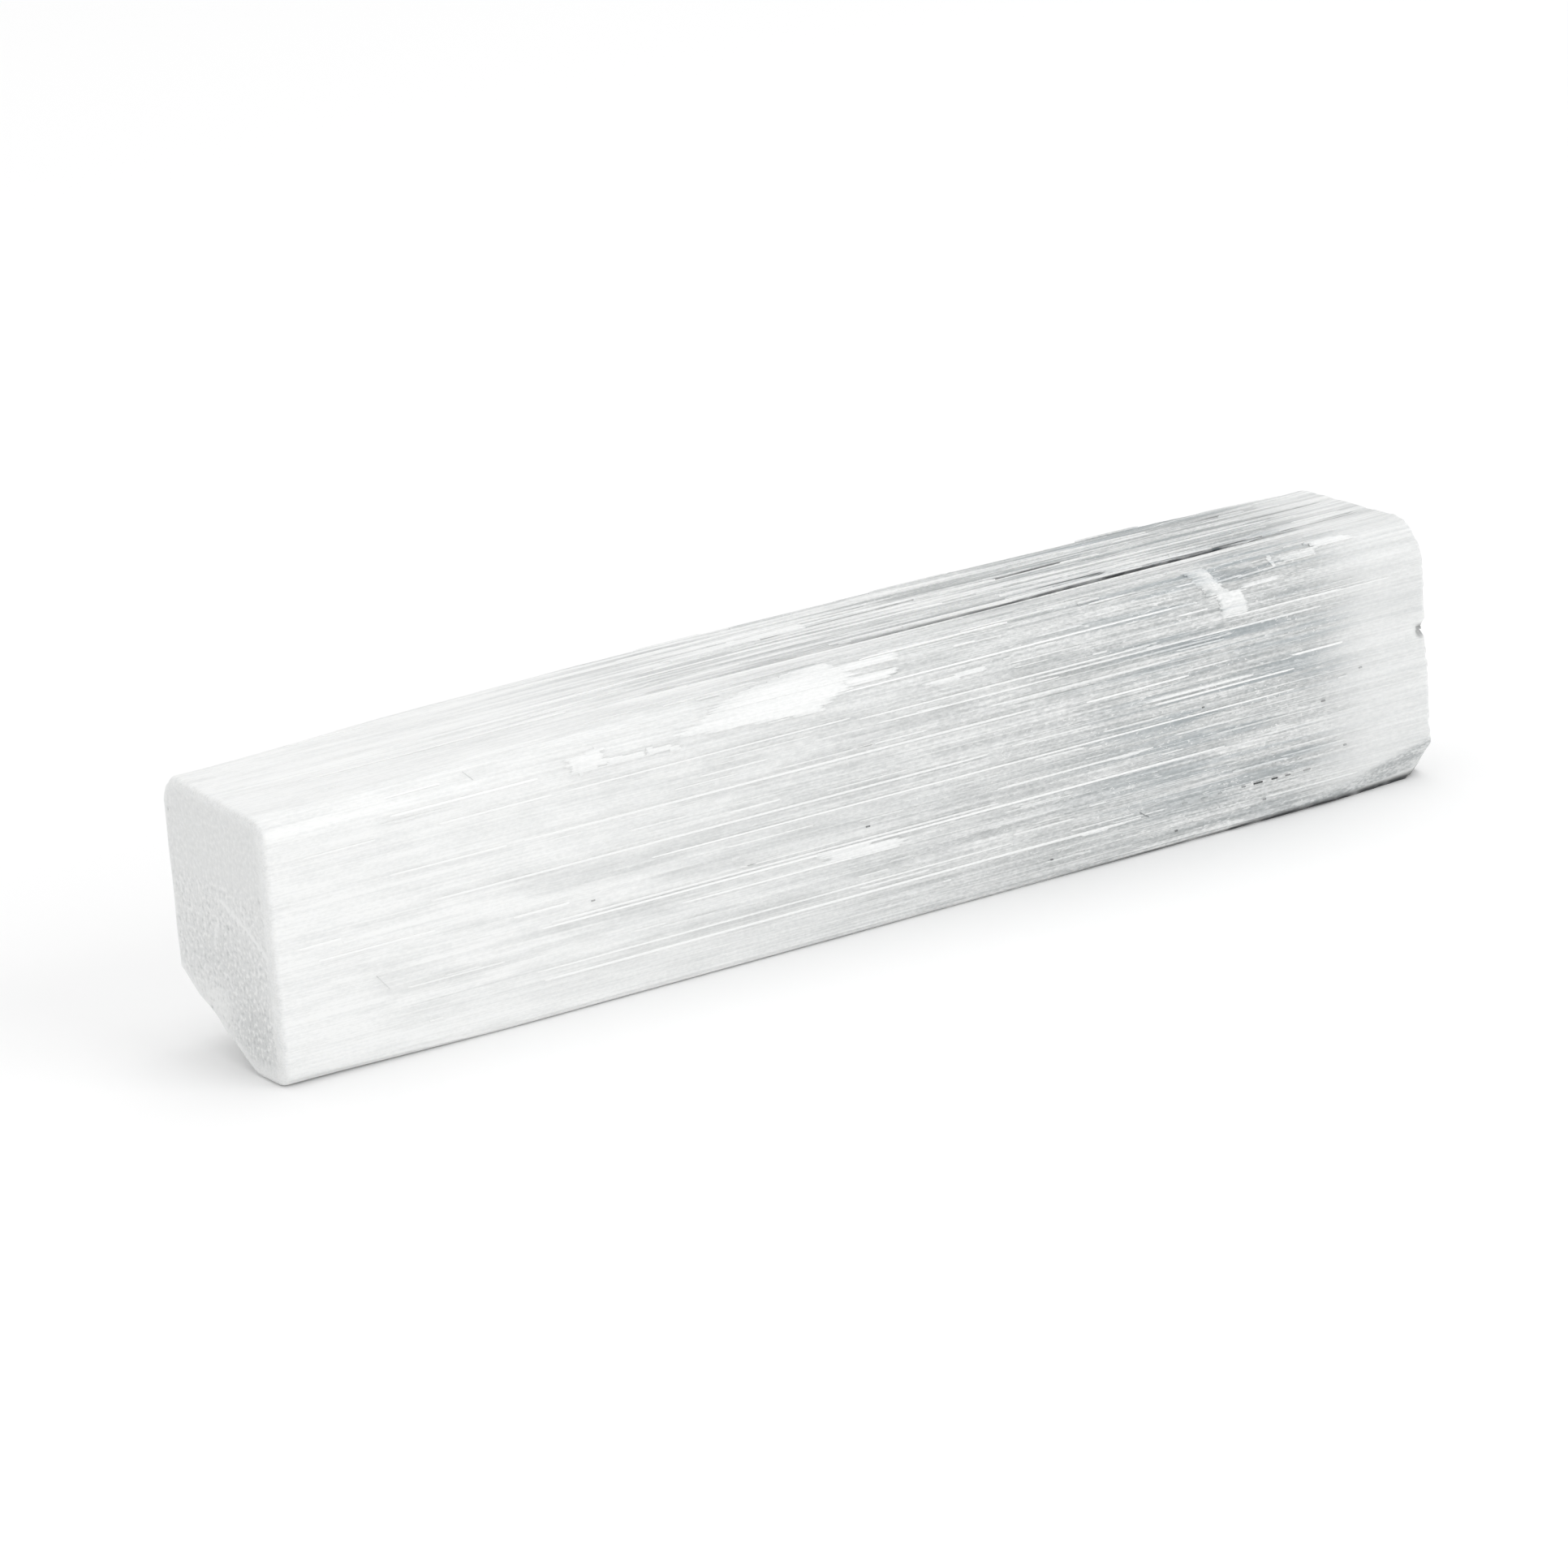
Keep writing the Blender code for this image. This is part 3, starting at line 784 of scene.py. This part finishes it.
    # White where fibres have parted: long hairs, short flecks, crumbs and the slivers themselves.
    crumbs = ramp(tree, noise["crumbs"], *CRUMBS_SHOWN)
    crumbs = maths(tree, "MULTIPLY", crumbs, ramp(tree, noise["mottle"], *CRUMBS_IN_MOTTLE))
    hairs = ramp(tree, noise["hairs"], *HAIRS_SHOWN)
    flecks = ramp(tree, noise["flecks"], *FLECKS_SHOWN)
    white = join_up(tree, "MAXIMUM", hairs, flecks, crumbs)
    off_cut = maths(tree, "SUBTRACT", 1.0, saw_cut)
    white = join_up(tree, "MULTIPLY", white, WHITE_SHARE, strength, off_cut)
    loose = ramp(tree, noise["grain"], *LOOSE_GRAIN)
    loose = maths(tree, "MULTIPLY", painted(tree, "parted"), loose)
    colour = mix_colours(tree, maths(tree, "MAXIMUM", white, loose), colour, PARTED_WHITE)

    # Grey and grainy where the stone is crushed, a grey that is partly painted shade, as that broken
    # edge faces down. Painted shade darkens the split, the hollows and the places painted as shaded.
    crushed_and_shaded = ramp(tree, maths(tree, "ADD", noise["mottle"], noise["grain"]), *CRUSHED_GRAIN)
    crushed_and_shaded = maths(tree, "MULTIPLY", painted(tree, "crushed_and_shaded"), crushed_and_shaded)
    colour = mix_colours(tree, crushed_and_shaded, colour, CRUSHED_AND_SHADED_GREY)
    hollow_shade = ramp(tree, painted(tree, "hollow_shade"), *HOLLOW_SHOWN)
    hollow_shade = maths(tree, "MULTIPLY", hollow_shade, ramp(tree, along, *DARKER_ALONG))
    shade = maths(tree, "MAXIMUM", hollow_shade, painted(tree, "shaded"))
    shade = maths(tree, "MULTIPLY", shade, ramp(tree, noise["breaks"], *SHADE_BREAKS))
    colour = mix_colours(tree, shade, colour, SHADOWED)

    feed(tree, shader.inputs["Base Color"], colour)
    feed(tree, shader.inputs["Roughness"], ramp(tree, noise["threads"], *ROUGHNESS))
    clear_share = maths(tree, "MULTIPLY", ramp(tree, milk, *CLEAR_SHARE), glow)
    feed(tree, shader.inputs["Transmission Weight"], clear_share)
    shader.inputs["IOR"].default_value = GYPSUM_IOR
    shader.inputs["Subsurface Weight"].default_value = glow
    shader.inputs["Subsurface Radius"].default_value = LIGHT_DEPTH
    shader.inputs["Subsurface Scale"].default_value = 1.0
    relief = maths(tree, "MULTIPLY", noise["grain"], RELIEF_GRAIN)
    relief = maths(tree, "ADD", noise["threads"], relief)
    bump = add_node(tree, "Bump", Height=relief, Strength=RELIEF_STRENGTH, Distance=RELIEF_HEIGHT)
    feed(tree, shader.inputs["Normal"], bump.outputs["Normal"])
    return material


bar.data.materials.append(satin_spar("satin_spar", glow=0.35))
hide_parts("selenite_wand")
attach(bar, "root")


# --------------------------------------
# The parted fibres: slivers of the same gypsum that have come loose from the bar but still lie
# on it. Air between them makes them white. One sliver is made, narrower at its top and its tips,
# and each copy is laid along the surface and held in it by its foot.

SLIVER_PARTS = 14
SLIVER_TOP = (1, 0.8, 1)
SLIVER_TIP = (1, 0.6, 0.7)
deselect_all()
bpy.ops.mesh.primitive_cube_add(size=1)
master_sliver = bpy.context.active_object
master_sliver.name = "master_sliver"
bpy.ops.object.mode_set(mode="EDIT")
split_edges_along(0, (SLIVER_PARTS,))


def select_points(test):
    """Selects the points of the mesh being edited whose place passes a test."""
    work = bmesh.from_edit_mesh(bpy.context.edit_object.data)
    for vert in work.verts:
        vert.select = test(vert.co)
    work.select_flush(True)
    bmesh.update_edit_mesh(bpy.context.edit_object.data)


bpy.context.tool_settings.mesh_select_mode = (True, False, False)
select_points(lambda place: place.z > 0)
bpy.ops.transform.resize(value=SLIVER_TOP, center_override=(0, 0, 0.5))
for end in (-0.5, 0.5):
    select_points(lambda place: place.z > 0 and place.x / end > 0.99)
    bpy.ops.transform.resize(value=SLIVER_TIP, center_override=(end, 0, -0.5))
bpy.ops.object.mode_set(mode="OBJECT")

# The surface in fine even steps around the bar, to lay slivers on. Its slope at a place is taken
# over this many steps to each side.
SKIN_STEP = 0.05 * MM
SKIN_REACH = 60 * MM
SLOPE_STEPS = 3
LAST_RING = ring_spaces - 0.001
skin_around = np.arange(0, SKIN_REACH, SKIN_STEP)
fine_skin = np.empty((ring_spaces + 1, len(skin_around), 2))
for ring in range(ring_spaces + 1):
    for axis in (0, 1):
        fine_skin[ring, :, axis] = np.interp(skin_around, around[ring], skin[ring, :, axis])


def on_skin(along, round_bar, height):
    """Points on the bar this far along and around it, raised by a height."""
    ring = np.interp(along, ring_along, np.arange(ring_spaces + 1))
    ring = np.clip(ring, 0, LAST_RING)
    step = np.clip(round_bar / SKIN_STEP, SLOPE_STEPS, len(skin_around) - SLOPE_STEPS - 2)
    ring_low, step_low = ring.astype(int), step.astype(int)
    ring_part, step_part = (ring - ring_low)[:, None], (step - step_low)[:, None]

    def at_step(index):
        before, after = fine_skin[ring_low, index], fine_skin[ring_low + 1, index]
        return before * (1 - ring_part) + after * ring_part

    place = at_step(step_low) * (1 - step_part) + at_step(step_low + 1) * step_part
    run = at_step(step_low + SLOPE_STEPS) - at_step(step_low - SLOPE_STEPS)
    out = np.stack([-run[:, 1], run[:, 0]], axis=-1) / np.linalg.norm(run, axis=1, keepdims=True)
    place = place + out * height[:, None] + np.array([bar_middle.y, bar_middle.z])
    return np.column_stack([along + bar_low.x, place])


master_points = np.empty(len(master_sliver.data.vertices) * 3)
master_sliver.data.vertices.foreach_get("co", master_points)
master_points = master_points.reshape(-1, 3)
SUNK = 0.14 * MM
SLIVERS_KEEP_TO = (0.3 * MM, 99.5 * MM)
SHARP_FADE = 0.001
BEFORE_START = -0.01
slivers = []


def lay_sliver(along, round_bar, width, proud, parted, fades=(0, 0), shade=0.0):
    """Lays one copy of the sliver from along[0] to along[1], at round_bar[0] to round_bar[1],
    this wide and standing this proud, all in millimetres. parted says how white it is, fades
    over what share of it that goes away at each end, and shade how dark it is."""
    mesh = master_sliver.data.copy()
    sliver = bpy.data.objects.new("sliver", mesh)
    bpy.context.scene.collection.objects.link(sliver)
    share = master_points[:, 0] + 0.5
    place_along = np.clip((along[0] + (along[1] - along[0]) * share) * MM, *SLIVERS_KEEP_TO)
    middle_around = round_bar[0] + (round_bar[1] - round_bar[0]) * share
    place_around = (middle_around + master_points[:, 1] * width) * MM
    height = (master_points[:, 2] + 0.5) * (SUNK + proud * MM) - SUNK
    places = on_skin(place_along, place_around, height)
    places = np.clip(places, np.array(cad_low), np.array(cad_high))
    mesh.vertices.foreach_set("co", places.ravel())
    mesh.update()
    whiteness = parted * smooth_step(BEFORE_START, max(fades[0], SHARP_FADE), share)
    whiteness *= smooth_step(BEFORE_START, max(fades[1], SHARP_FADE), 1 - share)
    paint(sliver, "parted", whiteness)
    paint(sliver, "shaded", np.full(len(mesh.vertices), shade))
    slivers.append(sliver)


# The long bright fibres on the front and the top, each as (around, along from, along to, how
# white), in millimetres.
BRIGHT_FIBRES = (
    (16.2, 2.9, 8.8, 0.7), (16.2, 13.5, 23.0, 0.7), (16.2, 23.3, 48.2, 0.7), (15.95, 48.2, 74.3, 0.7),
    (19.05, 9.8, 14.5, 0.8), (17.64, 9.7, 22.1, 0.9), (18.2, 47.4, 78.5, 0.7), (15.3, 50.0, 66.0, 0.6),
    (13.4, 9.3, 19.1, 0.9), (13.4, 19.4, 63.3, 0.6), (12.78, 68.3, 77.6, 1.0), (12.3, 87.2, 91.9, 0.9),
    (11.6, 73.6, 83.5, 0.6), (11.25, 74.4, 87.3, 0.8), (10.78, 11.3, 59.3, 0.6), (9.74, 1.8, 5.4, 0.6),
    (9.7, 29.4, 87.2, 0.9), (8.6, 3.1, 12.9, 0.7), (8.0, 18.8, 23.5, 0.8), (6.65, 19.6, 80.5, 0.8),
    (6.95, 21.0, 60.0, 0.6), (5.8, 32.2, 49.4, 0.8), (3.6, 19.6, 61.0, 0.6), (2.9, 19.6, 72.5, 0.7),
    (16.5, 81.0, 92.0, 0.6), (14.4, 60.0, 76.0, 0.5), (15.6, 64.0, 90.0, 0.5), (8.0, 60.0, 74.0, 0.6),
    (25.0, 6.5, 28.0, 0.9), (24.6, 50.0, 78.0, 0.7), (27.6, 24.0, 62.0, 0.8), (27.9, 62.0, 92.0, 0.8),
    (28.3, 44.0, 60.0, 0.5), (32.4, 40.0, 84.0, 0.5), (26.0, 66.0, 84.0, 0.5), (20.5, 50.0, 63.0, 0.7),
)
FIBRE_WIDTH = 0.17
FIBRE_WIDTHS = (0.8, 1.3)
FIBRE_PROUD = 0.015
FIBRE_WHITER = 0.20
FIBRE_DRIFT = (-0.06, 0.06)
PLACE_SEED = 31
place_chance = np.random.default_rng(PLACE_SEED)
for around_place, first, last, parted in BRIGHT_FIBRES:
    drift = place_chance.uniform(*FIBRE_DRIFT)
    width = FIBRE_WIDTH * place_chance.uniform(*FIBRE_WIDTHS)
    parted = min(parted + FIBRE_WHITER, 1.0)
    lay_sliver((first, last), (around_place, around_place + drift), width, FIBRE_PROUD, parted)

# Short loose fibres all over, more of them towards the rough end. Most start near the middle one
# of SHORT_STARTS, and their lengths are the squares of SHORT_ROOTS.
SHORT_FIBRES = 300
SHORT_STARTS = (2, 78, 96)
SHORT_ROOTS = (0.8, 3.0)
SHORT_LAST = 98.5
SHORT_AROUND = (1.5, 54)
SHORT_PARTED = (0.15, 0.75)
SHORT_WIDTHS = (0.08, 0.17)
FLUSH = 0.01
for _ in range(SHORT_FIBRES):
    first = place_chance.triangular(*SHORT_STARTS)
    last = min(first + place_chance.uniform(*SHORT_ROOTS) ** 2, SHORT_LAST)
    around_place = place_chance.uniform(*SHORT_AROUND)
    parted = place_chance.uniform(*SHORT_PARTED)
    width = place_chance.uniform(*SHORT_WIDTHS)
    lay_sliver((first, last), (around_place,) * 2, width, FLUSH, parted)

FIRST_ROW = 0.47
ROW_OVERLAP = 1.3
ROW_WHITE = (0.7, 1.0)
ROW_PROUD = (0.01, 0.035)
EDGE_ROW_WHITE = 0.6
LEAST_LENGTH = 0.2
FADE_SHARES = (0.5, 1.5)
LONGEST_FADE, FADE_AT_RIGHT = 0.9, 0.1


def lay_patch(outline, row_width, ragged, parted, fade):
    """A patch of slivers side by side that fills an outline of (along, around) corners, in
    millimetres, each row a little longer or shorter than the outline. Its whiteness comes up
    over about this many millimetres from its left, and over its first and last rows."""
    corners = np.array(outline)
    following = np.roll(corners, -1, axis=0)
    lowest, highest = corners[:, 1].min(), corners[:, 1].max()
    for row in np.arange(lowest + FIRST_ROW * row_width, highest, row_width):
        crosses = (corners[:, 1] - row) * (following[:, 1] - row) < 0
        first, second = corners[crosses], following[crosses]
        share = (row - first[:, 1]) / (second[:, 1] - first[:, 1])
        cuts = np.sort(first[:, 0] + share * (second[:, 0] - first[:, 0]))
        inner_share = min(row - lowest, highest - row) / (2 * row_width)
        row_white = min(EDGE_ROW_WHITE + (1 - EDGE_ROW_WHITE) * inner_share, 1.0)
        for start, end in zip(cuts[::2], cuts[1::2]):
            start += place_chance.uniform(-ragged, ragged)
            end += place_chance.uniform(-ragged, ragged)
            white = parted * place_chance.uniform(*ROW_WHITE) * row_white
            if end - start > LEAST_LENGTH:
                proud = place_chance.uniform(*ROW_PROUD)
                fade_share = fade * place_chance.uniform(*FADE_SHARES) / (end - start)
                fades = (min(fade_share, LONGEST_FADE), FADE_AT_RIGHT)
                lay_sliver((start, end), (row, row), row_width * ROW_OVERLAP, proud, white, fades)


# Each patch as its outline, its rows' width, how ragged its ends are, how white it is and over how
# far that comes up, in millimetres.
PATCHES = (
    # On the front shoulder, the largest in the middle of the bar, and one low on the front.
    (((33.4, 18.2), (38.7, 20.1), (44.2, 21.0), (47.6, 21.0), (49.4, 19.5), (48.4, 18.4),
      (45.2, 17.3), (33.8, 17.9)), 0.2, 0.5, 0.66, 4.0),
    (((47.6, 20.3), (53.6, 20.25), (53.2, 19.8), (48.0, 19.75)), 0.2, 0.4, 0.85, 1.0),
    (((47.5, 19.0), (52.7, 19.2), (52.2, 18.6), (47.5, 18.5)), 0.2, 0.3, 0.85, 1.0),
    (((24.0, 18.3), (27.2, 18.9), (27.8, 17.6), (24.9, 17.1)), 0.2, 0.5, 0.30, 2.2),
    (((27.4, 17.75), (30.7, 17.7), (30.4, 17.35), (27.6, 17.35)), 0.18, 0.3, 0.45, 1.0),
    (((30.5, 17.9), (33.6, 17.5), (33.4, 17.15), (30.6, 17.4)), 0.18, 0.3, 0.5, 1.0),
    (((54.0, 17.3), (59.7, 17.65), (59.6, 17.2), (54.9, 17.05)), 0.17, 0.15, 0.9, 0.8),
    (((44.0, 6.75), (52.0, 6.3), (51.0, 5.7), (45.2, 5.8)), 0.18, 0.6, 0.62, 1.5),
    # The edges of the hollow that a flake left.
    (((79.0, 20.9), (81.2, 20.9), (81.9, 18.4), (79.8, 18.4)), 0.2, 0.15, 0.6, 1.2),
    (((80.5, 18.45), (83.0, 18.45), (83.4, 16.65), (80.9, 16.6)), 0.2, 0.15, 0.72, 0.5),
    (((81.4, 19.6), (86.7, 19.5), (86.7, 19.35), (81.4, 19.45)), 0.14, 0.05, 0.6, 0),
    (((83.0, 18.65), (86.7, 18.65), (86.6, 18.45), (83.0, 18.4)), 0.15, 0.05, 0.85, 0),
    (((86.3, 20.4), (86.8, 20.5), (86.8, 19.4), (86.5, 19.4)), 0.16, 0.05, 0.35, 0),
    # Slivers that still lift beyond the flake.
    (((87.0, 20.0), (91.0, 20.3), (91.0, 19.6), (87.4, 19.65)), 0.16, 0.4, 0.55, 2.0),
    (((90.2, 20.9), (92.4, 21.0), (94.4, 20.5), (94.3, 20.25), (90.6, 20.2)), 0.18, 0.3, 0.75, 0.5),
    # A bright strip between two splits on the top, which ends squarely.
    (((38.0, 30.2), (51.4, 30.5), (51.4, 29.7), (40.0, 29.5)), 0.26, 0.1, 0.7, 5.0),
)
for outline, row_width, ragged, parted, fade in PATCHES:
    lay_patch(outline, row_width, ragged, parted, fade)

# Dark specks of painted shade where the surface has tiny pits, each as (along, around, length).
SPECKS = (
    (25.2, 7.72, 0.35), (48.4, 7.8, 0.4), (83.7, 1.78, 0.3), (89.6, 8.15, 0.4), (93.3, 9.98, 0.3),
    (91.5, 4.29, 0.3), (75.5, 1.2, 0.25), (64.2, 1.6, 0.25), (78.6, 10.1, 0.25),
)
SPECK_WIDTH = 0.13
SPECK_SHADE = 0.75
for first, around_place, length in SPECKS:
    speck_ends = (first, first + length)
    lay_sliver(speck_ends, (around_place,) * 2, SPECK_WIDTH, FLUSH, parted=0, shade=SPECK_SHADE)

# A broken dark line of painted shade low down near the rough end, each dash as (along, length,
# shade).
DASHES = (
    (76.3, 0.5, 0.3), (78.0, 0.7, 0.35), (79.6, 0.4, 0.4), (81.8, 0.4, 0.7),
    (82.9, 0.9, 0.95), (84.6, 0.6, 0.95), (85.9, 0.5, 0.7), (87.6, 0.7, 0.6),
)
DASHES_AROUND = 3.15
DASH_DRIFT = (-0.04, 0.04)
DASH_WIDTH = 0.14
for first, length, shade in DASHES:
    around_place = DASHES_AROUND + place_chance.uniform(*DASH_DRIFT)
    dash_ends = (first, first + length)
    lay_sliver(dash_ends, (around_place,) * 2, DASH_WIDTH, FLUSH, parted=0, shade=shade)

# Three scratches, and painted shade at the bottom of the nick in the rough end, each as (along at
# its ends, around at its ends, width, shade).
SCRATCHES = (
    ((7.7, 8.7), (6.5, 5.26), 0.10, 0.25),
    ((72.4, 73.2), (3.35, 2.85), 0.13, 0.6),
    ((16.4, 16.9), (19.6, 18.7), 0.10, 0.3),
    ((98.85, 99.35), (11.95, 11.85), 0.25, 0.95),
)
for along_ends, around_ends, width, shade in SCRATCHES:
    lay_sliver(along_ends, around_ends, width, FLUSH, parted=0, shade=shade)

# The white slivers and the dark ones of painted shade are joined into one object.
deselect_all()
for sliver in slivers:
    sliver.select_set(True)
parted_fibres = slivers[0]
bpy.context.view_layer.objects.active = parted_fibres
bpy.ops.object.join()
parted_fibres.name = "parted_fibres"
bpy.data.objects.remove(master_sliver)
parted_fibres.data.materials.clear()
parted_fibres.data.materials.append(satin_spar("parted_spar", glow=0))
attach(parted_fibres, "root")


# --------------------------------------
# The studio: a floor of plain pale paper, a white room, and two square softboxes that light the
# wand from above and from the front.

FLOOR_SIZE = 3
PAPER_COLOUR = (0.94, 0.94, 0.94, 1)
PAPER_ROUGHNESS = 0.9
deselect_all()
bpy.ops.mesh.primitive_plane_add(size=FLOOR_SIZE)
floor = bpy.context.active_object
floor.name = "floor"
paper = bpy.data.materials.new("pale_paper")
paper.use_nodes = True
paper_shader = paper.node_tree.nodes["Principled BSDF"]
paper_shader.inputs["Base Color"].default_value = PAPER_COLOUR
paper_shader.inputs["Roughness"].default_value = PAPER_ROUGHNESS
floor.data.materials.append(paper)

ROOM_LIGHT = 0.78
room = bpy.data.worlds.new("white_room")
room.use_nodes = True
room_light = room.node_tree.nodes["Background"]
room_light.inputs["Color"].default_value = (1, 1, 1, 1)
room_light.inputs["Strength"].default_value = ROOM_LIGHT
bpy.context.scene.world = room

# Each softbox as its name, its side, its place and its power in watts.
SOFTBOXES = (
    ("overhead_softbox", 1.4, (0.10, 0.25, 1.30), 5.4),
    ("front_softbox", 0.6, (0.35, -0.75, 0.40), 2.4),
)
for name, side, place, watts in SOFTBOXES:
    light = bpy.data.lights.new(name, "AREA")
    light.shape = "SQUARE"
    light.size = side
    light.energy = watts
    softbox = bpy.data.objects.new(name, light)
    bpy.context.scene.collection.objects.link(softbox)
    softbox.location = place
    softbox.rotation_euler = (-Vector(place)).to_track_quat("-Z", "Y").to_euler()


# --------------------------------------
# The camera: a long lens on a tripod, in front of the wand and to its left, a little above it.

CAMERA_TURN = -31.717
CAMERA_RISE = 16.850
CAMERA_ROLL = -4.409
CAMERA_LENS = 149.07
SENSOR_WIDTH = 36
AIM_RIGHT = 7.84 * MM
AIM_UP = -10.21 * MM
CAMERA_AWAY = 469.7 * MM
turned, risen = math.radians(CAMERA_TURN), math.radians(CAMERA_RISE)
backward = Vector((
    math.sin(turned) * math.cos(risen),
    -math.cos(turned) * math.cos(risen),
    math.sin(risen),
))
lens = bpy.data.cameras.new("camera")
lens.lens = CAMERA_LENS
lens.sensor_width = SENSOR_WIDTH
camera = bpy.data.objects.new("camera", lens)
bpy.context.scene.collection.objects.link(camera)
camera.rotation_mode = "QUATERNION"
level = (-backward).to_track_quat("-Z", "Y")
camera.rotation_quaternion = level @ Quaternion((0, 0, 1), math.radians(CAMERA_ROLL))
to_right = camera.rotation_quaternion @ Vector((1, 0, 0))
to_top = camera.rotation_quaternion @ Vector((0, 1, 0))
front_foot = Vector((0, bar_low.y, bar_low.z))
camera.location = front_foot - to_right * AIM_RIGHT - to_top * AIM_UP + backward * CAMERA_AWAY
bpy.context.scene.camera = camera
bpy.context.scene.view_settings.view_transform = "Standard"
